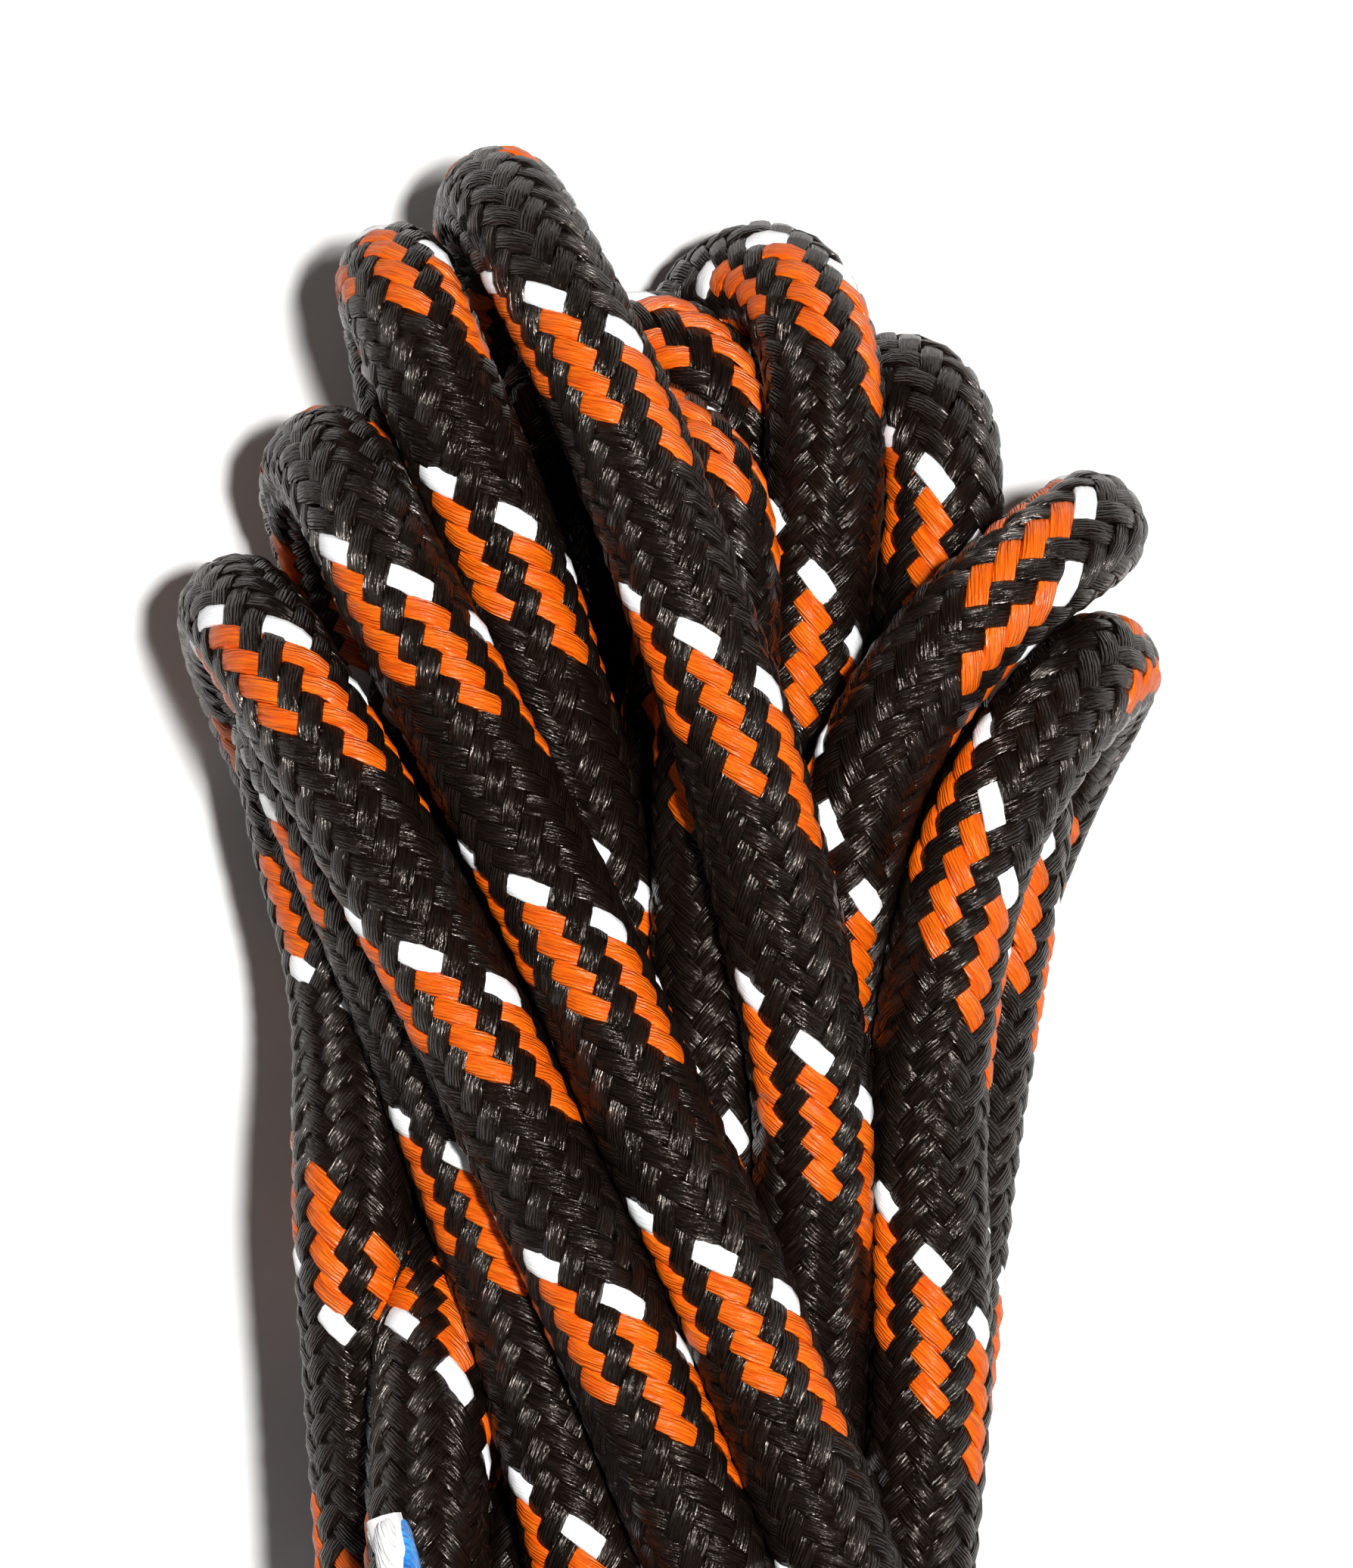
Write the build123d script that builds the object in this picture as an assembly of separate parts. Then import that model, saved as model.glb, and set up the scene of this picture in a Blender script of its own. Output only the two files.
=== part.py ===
"""A tied hank of black dynamic climbing rope, lying flat: its wound turns, two loose ends and its tie.

+X is the hank's right, +Y runs along it towards the head loops, +Z is up. Millimetres.
"""
import os
from math import cos, pi, radians, sin, tan

from build123d import *

# Driving dimensions
ROPE_D = 10.0           # outside diameter of the rope
CORE_D = 7.0            # diameter of the core inside the sheath
FLOOR_GAP = 0.4         # lowest rope surface above the floor, so that the end sleeves clear it
TIE_D = 3.6             # diameter of the tie cord
TIE_TURNS = 3           # wraps of the tie round the waist
WAIST = (53.0, 45.0)    # width and height of the bundle under the tie
WAIST_X = -0.9          # middle of the bundle, beside the tie's centre plane
WAIST_LENGTH = 16.0     # straight stretch of the bundle that the tie sits on
SHOULDER = 10.0         # corner radius of the bundle's section
SLEEVE = (10.8, 10.0)   # end sleeve: outside diameter and length
SEAL = (10.4, 3.0)      # melted sheath bead: outside diameter and length
CORE_PROUD = 0.5        # core stands this far out of the melted bead
SIDE_ROUND = 4.3        # rounding of a loop's sides

rope_r = ROPE_D / 2
tie_r = TIE_D / 2
floor_z = rope_r + FLOOR_GAP
waist_bottom = TIE_D + 0.2
waist_top = waist_bottom + WAIST[1]

# Loops: tip x, tip y, lean from +Y, height of the lower and the upper strand, depth of the loop.
# A tip is where the rope's centre line turns over.
HEAD_LOOPS = (
    (-29.5, 80.0, -20, 20.0, 30.0, 35),
    (-33.0, 90.5, -28, 12.0, 37.5, 45),
    (-27.5, 101.0, -28, 6.0, 34.0, 50),
    (-21.5, 116.5, -20, 14.5, 32.0, 60),
    (-13.0, 123.5, -14, 6.0, 35.5, 60),
    (-1.0, 103.0, -8, 5.4, 31.5, 50),
    (-1.5, 112.0, -6, 14.0, 21.5, 50),
    (9.0, 118.0, 4, 5.4, 29.0, 60),
    (22.5, 110.0, 8, 5.4, 23.5, 50),
    (27.0, 78.0, 10, 5.4, 24.0, 40),
    (37.5, 84.5, 30, 8.5, 32.5, 34),
    (36.5, 96.0, 45, 13.0, 35.0, 36),
)
FOOT_LOOPS = (
    (-33.0, -79.5, -28, 5.4, 31.5, 40),
    (-31.5, -97.0, -26, 17.0, 41.0, 45),
    (-25.0, -107.5, -22, 7.5, 34.0, 50),
    (-14.5, -100.5, -18, 14.5, 35.5, 50),
    (-8.0, -115.5, -6, 7.0, 40.5, 60),
    (-1.0, -105.0, -4, 6.0, 28.5, 50),
    (6.0, -118.0, -3, 5.4, 30.0, 60),
    (17.0, -104.0, 1, 5.4, 25.0, 50),
    (24.5, -110.5, 6, 13.0, 37.0, 50),
    (31.0, -94.5, 10, 5.4, 28.0, 45),
    (37.0, -86.0, 25, 10.5, 38.0, 40),
)

# The bundle's section along Y on each side of the waist: y, width, underside, top.
HEAD_SECTIONS = ((30, 57.0, -0.6, 47.5), (56, 61.0, -0.6, 44.0), (76, 66.0, -0.6, 40.0))
FOOT_SECTIONS = ((-30, 57.0, -0.6, 48.0), (-56, 61.0, -0.6, 46.0), (-76, 64.0, -0.6, 42.0))

# Free ends of the rope, from the hank outwards, and the stub of hank that each one leaves.
TAIL_A = ((12.0, -126.0), (13.5, -146.0), (20.0, -165.0), (31.0, -181.5))
TAIL_B = ((-16.0, -124.0), (-21.0, -143.0), (-31.0, -160.0), (-45.0, -173.0))
STUB_LENGTH = 40.0

# Ends of the tie, from the knot outwards.
KNOT_AT = (-13.0, 0.0, 53.6)
KNOT_SIZE = (10.0, 12.0, 8.0)
TIE_TAIL_A = ((-15.5, 4.5, 54.6), (-17.6, 9.0, 53.4), (-19.4, 13.5, 51.6), (-20.8, 18.0, 50.4))
TIE_TAIL_B = ((-10.5, -4.5, 54.6), (-7.5, -8.5, 53.6), (-3.0, -11.5, 52.6), (2.5, -13.0, 52.2))


def section(y, width, bottom, top):
    """Rounded cross-section of the bundle at one station along Y."""
    plane = Plane(origin=(WAIST_X, y, (bottom + top) / 2), x_dir=(1, 0, 0), z_dir=(0, -1, 0))
    radius = min(SHOULDER, (top - bottom) / 2 - 0.5)
    return plane * RectangleRounded(width, top - bottom, radius)


def waist_section(y, grow=0.0):
    """Section under the tie, or that section grown outwards by a wrap of the tie."""
    middle = (waist_bottom + waist_top) / 2
    plane = Plane(origin=(WAIST_X, y, middle), x_dir=(1, 0, 0), z_dir=(0, -1, 0))
    shape = RectangleRounded(WAIST[0] + 2 * grow, WAIST[1] + 2 * grow, SHOULDER + grow)
    return plane * shape


def bundle():
    """The parallel strands between the fans: straight under the tie, wider towards each fan."""
    half = WAIST_LENGTH / 2
    body = extrude(waist_section(half), WAIST_LENGTH)
    for side, stations in ((1, HEAD_SECTIONS), (-1, FOOT_SECTIONS)):
        previous = waist_section(side * half)
        for station in stations:
            following = section(*station)
            body += loft([previous, following], ruled=True)
            previous = following
    return body


def loop_solid(x, y, lean, low, high, depth):
    """One turned-over loop, filled in: as thick as the rope, as tall as its two strands."""
    outward = 1 if y > 0 else -1
    angle = radians(lean)
    along = (sin(angle), outward * cos(angle), 0)
    tall = high - low + ROPE_D
    plane = Plane(origin=(x, y, (low + high) / 2), x_dir=along, z_dir=(-along[1], along[0], 0))
    nose = tall / 2 - rope_r
    with BuildSketch(plane) as profile:
        with Locations((-depth / 2 - nose / 2, 0)):
            Rectangle(depth - nose, tall)
        with Locations((-nose, 0)):
            Circle(tall / 2)
    slab = extrude(profile.sketch, ROPE_D / 2, both=True)
    flats = [face for face in slab.faces() if abs(abs(face.normal_at().dot(plane.z_dir)) - 1) < 1e-6]
    return fillet([edge for face in flats for edge in face.edges()], SIDE_ROUND)


def stub(route):
    """Last stretch of strand that leaves the fan and meets a free end."""
    start, following = Vector(*route[0], floor_z), Vector(*route[1], floor_z)
    inward = (start - following).normalized()
    return extrude(Plane(origin=start, z_dir=inward) * Circle(rope_r), STUB_LENGTH)


def hank():
    """Outer shape of every wound turn in one closed solid, with flat patches that it rests on."""
    body = bundle()
    for loop in HEAD_LOOPS + FOOT_LOOPS:
        body += loop_solid(*loop)
    for route in (TAIL_A, TAIL_B):
        body += stub(route)
    above_floor = Pos(0, 0, 100) * Box(400, 400, 200)
    return body & above_floor


def tube(name, route, diameter):
    """Straight runs joined by tangent arcs, each as large as its two runs allow."""
    points = [Vector(*point) for point in route]
    runs = [after - before for before, after in zip(points, points[1:])]
    radii = []
    for before, after in zip(runs, runs[1:]):
        half_turn = radians(before.get_angle(after)) / 2
        radii.append(0.45 * min(before.length, after.length) / tan(half_turn))
    line = FilletPolyline(*points, radius=radii)
    start = Plane(origin=points[0], z_dir=runs[0])
    solid = sweep(start * Circle(diameter / 2), path=line)
    expected = pi * diameter ** 2 / 4 * line.length
    print(name, "radii", [round(radius, 1) for radius in radii], "length", round(line.length, 1),
          "volume ratio", round(solid.volume / expected, 4))
    return solid


def rope_end(route):
    """Sleeve on the last straight stretch, and the melted sheath round the core at the cut."""
    last, before = Vector(*route[-1], floor_z), Vector(*route[-2], floor_z)
    outward = (last - before).normalized()
    cut = Plane(origin=last, z_dir=outward)
    sleeve = extrude(cut * (Circle(SLEEVE[0] / 2) - Circle(rope_r)), -SLEEVE[1])
    bead = extrude(cut * Circle(SEAL[0] / 2), SEAL[1])
    bead = fillet(bead.edges().filter_by(GeomType.CIRCLE), 1.2)
    core = extrude(cut * Circle(CORE_D / 2), SEAL[1] + CORE_PROUD)
    return sleeve, bead - core, core


def tie_wraps():
    """The tie's turns round the waist, side by side."""
    width = TIE_TURNS * TIE_D
    outer = extrude(waist_section(width / 2, grow=TIE_D), width)
    outer = fillet(outer.edges().filter_by(Plane.XZ), tie_r * 0.9)
    return outer - extrude(waist_section(width), 2 * width)


def tie_knot(around):
    """Flattened knot that sits on the wraps."""
    lump = Pos(*KNOT_AT) * scale(Sphere(0.5), by=KNOT_SIZE)
    for piece in around:
        lump -= piece
    return lump


nodes = {}
nodes["rope_hank"] = hank()
for letter, route in (("a", TAIL_A), ("b", TAIL_B)):
    lifted = [(x, y, floor_z) for x, y in route]
    nodes[f"rope_tail_{letter}"] = tube(f"rope_tail_{letter}", lifted, ROPE_D)
    parts = rope_end(route)
    nodes[f"end_sleeve_{letter}"], nodes[f"sheath_end_{letter}"], nodes[f"core_end_{letter}"] = parts
nodes["tie_wraps"] = tie_wraps()
nodes["tie_tail_a"] = tube("tie_tail_a", TIE_TAIL_A, TIE_D)
nodes["tie_tail_b"] = tube("tie_tail_b", TIE_TAIL_B, TIE_D)
nodes["tie_knot"] = tie_knot([nodes["tie_wraps"], nodes["rope_hank"], nodes["tie_tail_a"],
                              nodes["tie_tail_b"]])

boxes = [shape.bounding_box() for shape in nodes.values()]
low = [min(box.min.X for box in boxes), min(box.min.Y for box in boxes), min(box.min.Z for box in boxes)]
high = [max(box.max.X for box in boxes), max(box.max.Y for box in boxes), max(box.max.Z for box in boxes)]
shift = Pos(-(low[0] + high[0]) / 2, -(low[1] + high[1]) / 2, 0)
print("low", low, "high", high, "shift", shift.position)
os.makedirs("parts", exist_ok=True)
for name, shape in nodes.items():
    export_step(shift * shape, f"parts/{name}.step")
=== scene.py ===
"""Looks of the tied climbing rope: braided sheath, twisted tie, sealed ends, floor, lights and camera."""
import math
from itertools import product

import bpy
import numpy as np
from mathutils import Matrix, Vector
from mathutils.kdtree import KDTree


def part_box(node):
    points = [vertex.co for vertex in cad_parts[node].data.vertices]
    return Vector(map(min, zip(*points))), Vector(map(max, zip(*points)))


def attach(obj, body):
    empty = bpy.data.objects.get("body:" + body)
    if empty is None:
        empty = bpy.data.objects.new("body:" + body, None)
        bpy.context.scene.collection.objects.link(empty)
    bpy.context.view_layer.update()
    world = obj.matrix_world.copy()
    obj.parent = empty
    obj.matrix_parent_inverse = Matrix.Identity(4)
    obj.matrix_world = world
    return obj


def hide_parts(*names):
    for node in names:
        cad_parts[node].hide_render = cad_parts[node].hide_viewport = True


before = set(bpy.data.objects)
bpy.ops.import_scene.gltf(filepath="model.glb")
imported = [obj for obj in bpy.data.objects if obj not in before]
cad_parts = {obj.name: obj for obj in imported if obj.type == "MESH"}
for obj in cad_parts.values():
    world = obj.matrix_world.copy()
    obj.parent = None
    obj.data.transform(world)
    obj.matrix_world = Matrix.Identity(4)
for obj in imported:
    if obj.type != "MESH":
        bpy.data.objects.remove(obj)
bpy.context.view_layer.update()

MM = 0.001

# Every size below is in millimetres. The hank's own frame has the tie round its origin, +Y towards the
# head loops and +Z up from the floor, as the CAD source has it before its origin is moved.
ROPE_D = 10.0
ROPE_R = ROPE_D / 2
FLOOR_GAP = 0.4
TIE_D = 3.6
TIE_TURNS = 3
WAIST = (53.0, 45.0)
WAIST_X = -0.9
WAIST_HALF_LENGTH = 9.0
SHOULDER = 10.0
CAMERA_DISTANCE = 450.0
CAMERA_TARGET = (1.94, 74.9, 36.0)
VIEW_HEIGHT = 125.6

floor_z = ROPE_R + FLOOR_GAP
waist_bottom = TIE_D + 0.2
waist_middle = waist_bottom + WAIST[1] / 2

# The rope's free ends, from the hank outwards, as in the CAD source.
TAIL_A = ((12.0, -126.0), (13.5, -146.0), (20.0, -165.0), (31.0, -181.5))
TAIL_B = ((-16.0, -124.0), (-21.0, -143.0), (-31.0, -160.0), (-45.0, -173.0))

# Each turn: head tip x, y; height of its lower and upper strand; how far the two lean apart;
# upper strand at the waist: x, z, bend; lower strand at the waist: x, z, bend.
TURNS = (
    ((-30.0, 81.5), (14.5, 25.0), 0.0, (1.0, 36.0, 1.15), (-21.5, 26.0, 2.0)),
    ((-32.2, 91.3), (5.4, 34.0), 0.0, (12.8, 43.6, 1.0), (-14.5, 38.5, 4.0)),
    ((-24.0, 102.6), (6.0, 33.0), 0.0, (20.2, 38.0, 1.1), (-22.0, 19.5, 1.6)),
    ((-21.5, 116.5), (14.0, 33.0), 0.0, (15.0, 24.0, 1.3), (-12.5, 21.0, 1.6)),
    ((-12.5, 124.0), (6.0, 34.5), 0.0, (12.8, 32.5, 2.9), (-17.5, 9.5, 1.6)),
    ((3.0, 106.5), (5.4, 31.0), 6.0, (3.0, 31.0, 1.6), (-8.5, 9.0, 1.6)),
    ((3.0, 109.8), (14.0, 25.0), 6.0, (-1.0, 18.0, 3.0), (-4.5, 19.0, 1.6)),
    ((3.2, 115.2), (5.4, 28.0), 9.0, (9.0, 15.5, 4.0), (0.5, 9.0, 1.6)),
    ((19.2, 108.8), (5.4, 25.0), 6.5, (18.0, 13.0, 2.5), (7.0, 9.0, 1.6)),
    ((31.0, 78.0), (5.4, 24.0), 0.0, (20.3, 19.5, 1.8), (14.0, 9.0, 2.0)),
    ((38.2, 88.3), (12.0, 33.0), 0.0, (18.6, 34.5, 5.0), (20.0, 11.0, 3.0)),
    ((39.0, 95.7), (17.0, 37.0), 0.0, (13.5, 19.0, 8.0), (-7.0, 31.0, 2.6)),
)
# Foot loops between one turn and the next: tip x, y; height of the lower and the upper strand.
FOOT_LOOPS = (
    ((-33.0, -84.0), (7.0, 30.0)),
    ((-29.5, -97.0), (5.4, 28.0)),
    ((-22.5, -108.0), (8.0, 34.0)),
    ((-14.0, -101.0), (5.4, 29.0)),
    ((-8.0, -115.5), (6.0, 34.0)),
    ((0.5, -106.0), (5.4, 30.0)),
    ((8.0, -118.0), (7.0, 33.0)),
    ((15.0, -104.0), (5.4, 28.0)),
    ((22.0, -110.5), (6.0, 34.0)),
    ((29.0, -98.0), (5.4, 26.0)),
    ((34.0, -86.0), (8.0, 32.0)),
)
FOOT_BEND = 1.4
# Where the rope climbs from its first free end to the waist, and comes back down to its second one.
CLIMB = (
    (12.0, -110.0, 6.5), (9.0, -90.0, 12.0), (3.0, -65.0, 23.0), (-2.0, -40.0, 33.0), (-4.0, -18.0, 39.0),
)
DESCENT = ((-8.0, -18.0, 30.0), (-9.0, -45.0, 24.0), (-10.0, -75.0, 15.0), (-14.0, -100.0, 8.0))


# ---------------------------------------------------------------- the rope's line

LEVEL_FROM = 12.0         # how far from the tie a strand starts to leave its height at the waist
LEVEL_WITHIN = 14.0       # how much shorter than the straight stretch its way to the loop's height is
STRAIGHT_POINTS = 16      # points of a strand's straight stretch
TIP_STEPS = 6             # steps of the quarter turn from there to the tip

SKIP = 2.2                # diameters along the rope within which it doesn't press on itself
WAIST_FLARE = 0.02        # how the bundle may widen beyond the tie, per millimetre squared
TIE_REACH = 26.0          # distance from the tie's middle within which the tie shapes the bundle
# How far the middle of a strand may lie to the left and to the right, at distances from the tie.
SIDES_AT = (0, 9, 40, 60, 77, 92)
LEFT_SIDE = (22.4, 22.4, 24.4, 25.0, 31, 42)
RIGHT_SIDE = (20.6, 20.6, 25.4, 27.5, 34, 44)

LAID_SMOOTHING = 48.0     # rounds of smoothing of the laid line, for points a millimetre apart
BENDING = ((4.0, 0.25), (8.0, 0.22), (16.0, 0.14), (28.0, 0.07))   # stiffness: reach along the rope, share
FRONT_MASS = 5.0          # how much less a strand that shows gives way than one behind it
FRONT_PULL = 0.18         # share of the way back to its laid place, for a strand that shows,
LOOP_PULL = 0.06          # for the rest of the loops,
LOOPS_FROM = 75.0         # which start this far from the tie,
INNER_PULL = 0.01         # and for all the rest
FRONT_LIFT = ((0, 45, 60), (0.12, 0.12, 0.04))   # the same upwards, for a strand that shows, along the hank
INNER_LIFT = 0.004
SINK = 0.05               # weight: how far a strand sinks in a round if nothing holds it
HOLD = ((0, 0.4, 0.8, 1), (1.0, 0.9, 0.7, 0.5))  # how firmly strands are pulled back, from start to end
PACKED = 0.985            # diameters between two touching strands under the tie
PACKED_WITHIN = 20.0
LOOSE = 1.005             # and elsewhere
PUSH = 0.7                # share of an overlap that one push takes away
SHARED_PUSH = 0.6         # share of its pushes that a point with several neighbours makes

COARSE_STEP = 8.0
FINE_STEP = 4.0
COARSE_ROUNDS = 250
FINE_ROUNDS = 350
PUSHES = 4                # in one round
LENGTH_ROUNDS = 3         # in one round
PAIRS_KEPT = 6            # rounds for which the pairs of near points are kept
PAIR_REACH = 1.5          # diameters between them
HELD = 3                  # points at each end that stay put
SMOOTHING = (0.5, -0.53)  # in and back out again, so that the loops keep their size
SMOOTHING_ROUNDS = 6
EVERY = 2                 # every second settled point makes the rope's curve


def ease(t):
    """Smooth step from 0 to 1."""
    t = min(1.0, max(0.0, t))
    return t * t * (3 - 2 * t)


def strand(waist, tip, heights, upper, lean):
    """Points of one strand from the waist out to the tip of its loop, where it stands on edge."""
    waist_x, waist_z, bend = waist
    level = heights[1] if upper else heights[0]
    middle = sum(heights) / 2
    lean = lean if upper else -lean
    radius = abs(level - middle)
    side, far = math.copysign(1, tip[1]), abs(tip[1])
    straight = far - radius
    points = []
    for k in range(STRAIGHT_POINTS):
        y = straight * k / STRAIGHT_POINTS
        x = waist_x + (tip[0] + lean - waist_x) * (y / far) ** bend
        share = ease((y - LEVEL_FROM) / (straight - LEVEL_WITHIN))
        points.append((x, side * y, waist_z + (level - waist_z) * share))
    for k in range(TIP_STEPS + 1):
        angle = math.pi / 2 * k / TIP_STEPS
        y = straight + radius * math.sin(angle)
        x = waist_x + (tip[0] + lean - waist_x) * (y / far) ** bend - lean * (1 - math.cos(angle))
        points.append((x, side * y, middle + (level - middle) * math.cos(angle)))
    return points


def wound_turns():
    """The hank as it is laid by hand, before its strands settle: every turn up, over and back."""
    points = [(*TAIL_A[0], floor_z), *CLIMB]
    for i, (tip, heights, lean, above, below) in enumerate(TURNS):
        if i:
            foot_tip, foot_heights = FOOT_LOOPS[i - 1]
            waist = (above[0], above[1], FOOT_BEND)
            points += strand(waist, foot_tip, foot_heights, True, 0.0)[::-1][1:]
        points += strand(above, tip, heights, True, lean)[min(i, 1):]
        points += strand(below, tip, heights, False, lean)[::-1][1:]
        if i < len(FOOT_LOOPS):
            foot_tip, foot_heights = FOOT_LOOPS[i]
            waist = (below[0], below[1], FOOT_BEND)
            points += strand(waist, foot_tip, foot_heights, False, 0.0)[1:]
    points += [*DESCENT, (*TAIL_B[0], floor_z)]
    return np.array(points, float)


def distances(points):
    """How far along its line each point is."""
    return np.r_[0, np.cumsum(np.linalg.norm(np.diff(points, axis=0), axis=1))]


def evenly(points, step):
    """The same line with points a step apart."""
    along = distances(points)
    at = np.linspace(0, along[-1], int(round(along[-1] / step)) + 1)
    return np.stack([np.interp(at, along, points[:, k]) for k in range(3)], 1)


def near_pairs(points, skip, reach):
    """Pairs of points closer than reach that are more than skip places apart along the line."""
    cells = {}
    for i, key in enumerate(map(tuple, np.floor(points / reach).astype(int))):
        cells.setdefault(key, []).append(i)
    around = [cell for cell in product((-1, 0, 1), repeat=3) if cell >= (0, 0, 0)]
    first, second = [], []
    for key, members in cells.items():
        for step in around:
            others = cells.get((key[0] + step[0], key[1] + step[1], key[2] + step[2]))
            if others is None:
                continue
            a, b = np.repeat(members, len(others)), np.tile(others, len(members))
            if step == (0, 0, 0):
                a, b = a[a < b], b[a < b]
            first.append(a)
            second.append(b)
    a, b = np.concatenate(first), np.concatenate(second)
    keep = (np.abs(a - b) > skip) & (np.linalg.norm(points[a] - points[b], axis=1) < reach)
    return a[keep], b[keep]


def inside_tie(points):
    """Points near the waist, pushed inside the rounded section that the tie holds."""
    slack = WAIST_FLARE * np.maximum(0, np.abs(points[:, 1]) - WAIST_HALF_LENGTH) ** 2
    radius = SHOULDER - ROPE_R
    flat_x = WAIST[0] / 2 - ROPE_R + slack - radius
    flat_z = WAIST[1] / 2 - ROPE_R + slack - radius
    x, z = points[:, 0] - WAIST_X, points[:, 2] - waist_middle
    over_x, over_z = np.abs(x) - flat_x, np.abs(z) - flat_z
    out = np.hypot(np.maximum(over_x, 0), np.maximum(over_z, 0))
    beyond = out > radius
    share = radius / np.maximum(out, 1e-6)
    points[:, 0] = np.where(beyond & (over_x > 0), np.sign(x) * (flat_x + over_x * share), x) + WAIST_X
    points[:, 2] = np.where(beyond & (over_z > 0), np.sign(z) * (flat_z + over_z * share), z) + waist_middle
    return points


def hold_sides(points):
    """Points, kept within the hank's sides."""
    away = np.abs(points[:, 1])
    left = -np.interp(away, SIDES_AT, LEFT_SIDE)
    right = np.interp(away, SIDES_AT, RIGHT_SIDE)
    points[:, 0] = np.clip(points[:, 0], left, right)
    return points


def push_apart(points, pairs, mass):
    """Moves strands that are closer than a diameter away from each other."""
    a, b = pairs
    apart = points[b] - points[a]
    distance = np.linalg.norm(apart, axis=1)
    wanted = np.where(np.abs(points[a, 1]) < PACKED_WITHIN, PACKED * ROPE_D, LOOSE * ROPE_D)
    touch = distance < wanted
    i, j = a[touch], b[touch]
    near = np.maximum(distance[touch], 1e-6)
    way = apart[touch] / near[:, None]
    gap = (wanted[touch] - near) * PUSH
    share = mass[j] / (mass[i] + mass[j])
    moved, hits = np.zeros_like(points), np.zeros(len(points))
    np.add.at(moved, i, -way * (gap * share)[:, None])
    np.add.at(moved, j, way * (gap * (1 - share))[:, None])
    np.add.at(hits, i, 1)
    np.add.at(hits, j, 1)
    return points + moved / np.maximum(1, hits * SHARED_PUSH)[:, None]


def keep_lengths(points, step):
    """Moves neighbouring points back to a step apart: every other pair, and then the pairs between."""
    for start in (0, 1):
        a_end, b_end = points[start:-1:2], points[start + 1::2]
        some = min(len(a_end), len(b_end))
        run = b_end[:some] - a_end[:some]
        long = np.linalg.norm(run, axis=1)
        move = run / long[:, None] * ((long - step) / 2)[:, None]
        a_end[:some] += move
        b_end[:some] -= move


def middles(points, reach):
    """For each point but the first and last few, the middle of the points a reach before and after it."""
    return (points[:-2 * reach] + points[2 * reach:]) / 2


def settle(points, laid, rounds):
    """Lets the strands push each other apart, bend stiffly and lie down, near where they were laid."""
    count = len(points)
    step = np.linalg.norm(np.diff(points, axis=0), axis=1).mean()
    smooth_laid = laid.copy()
    for _ in range(max(1, int(round(LAID_SMOOTHING / step ** 2)))):
        smooth_laid[1:-1] = smooth_laid[1:-1] / 2 + (smooth_laid[:-2] + smooth_laid[2:]) / 4
    bending = [(max(1, int(round(reach / step))), share) for reach, share in BENDING]
    curl = {m: middles(smooth_laid, m) - smooth_laid[m:count - m] for m, _ in bending}
    front = (np.gradient(laid[:, 1]) > 0) & (laid[:, 1] > 0)
    mass = np.where(front, FRONT_MASS, 1.0)
    pull = np.where(front, FRONT_PULL, INNER_PULL)
    pull = np.where(np.abs(laid[:, 1]) > LOOPS_FROM, np.maximum(pull, LOOP_PULL), pull)
    lift = np.where(front, np.interp(laid[:, 1], *FRONT_LIFT), INNER_LIFT)
    skip = int(SKIP * ROPE_D / step)
    for done in range(rounds):
        if done % PAIRS_KEPT == 0:
            pairs = near_pairs(points, skip, ROPE_D * PAIR_REACH)
        bent = points.copy()
        for m, share in bending:
            bent[m:count - m] += (middles(points, m) - points[m:count - m] - curl[m]) * share
        bent[:, 2] -= SINK
        points = bent
        hold = np.interp(done / rounds, *HOLD)
        points[:, :2] += (laid[:, :2] - points[:, :2]) * (pull * hold)[:, None]
        points[:, 2] += (laid[:, 2] - points[:, 2]) * lift * hold
        for _ in range(PUSHES):
            points = push_apart(points, pairs, mass)
            points[:, 2] = np.maximum(points[:, 2], floor_z)
            points = hold_sides(points)
            waist = np.abs(points[:, 1]) < TIE_REACH
            points[waist] = inside_tie(points[waist])
        for _ in range(LENGTH_ROUNDS):
            keep_lengths(points, step)
        points[:HELD], points[-HELD:] = laid[:HELD], laid[-HELD:]
    return points


def hank_line():
    """The settled hank: first with points far apart, then with points FINE_STEP apart."""
    turns = wound_turns()
    coarse = evenly(turns, COARSE_STEP)
    coarse = settle(coarse.copy(), coarse, COARSE_ROUNDS)
    fine = evenly(turns, FINE_STEP)
    at = np.linspace(0, len(coarse) - 1, len(fine))
    points = np.stack([np.interp(at, np.arange(len(coarse)), coarse[:, k]) for k in range(3)], 1)
    points = settle(points, fine, FINE_ROUNDS)
    for _ in range(SMOOTHING_ROUNDS):
        for share in SMOOTHING:
            points[1:-1] += ((points[:-2] + points[2:]) / 2 - points[1:-1]) * share
    return points


wraps_low, wraps_high = (np.array(corner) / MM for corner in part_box("tie_wraps"))
tie_middle = (wraps_low + wraps_high) / 2
hank_origin = np.array([tie_middle[0] - WAIST_X, tie_middle[1], 0.0])


def placed(points):
    """Points of the hank's frame in millimetres, in the part's frame in metres."""
    return (np.asarray(points, float) + hank_origin) * MM


def nurbs(name, points):
    """A curve of one open spline with these control points."""
    curve = bpy.data.curves.new(name, "CURVE")
    curve.dimensions = "3D"
    spline = curve.splines.new("NURBS")
    spline.points.add(len(points) - 1)
    for point, place in zip(spline.points, points):
        point.co = (*place, 1.0)
    spline.order_u = 3
    spline.use_endpoint_u = True
    curve.resolution_u = 12
    piece = bpy.data.objects.new(name, curve)
    bpy.context.scene.collection.objects.link(piece)
    return piece


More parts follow.
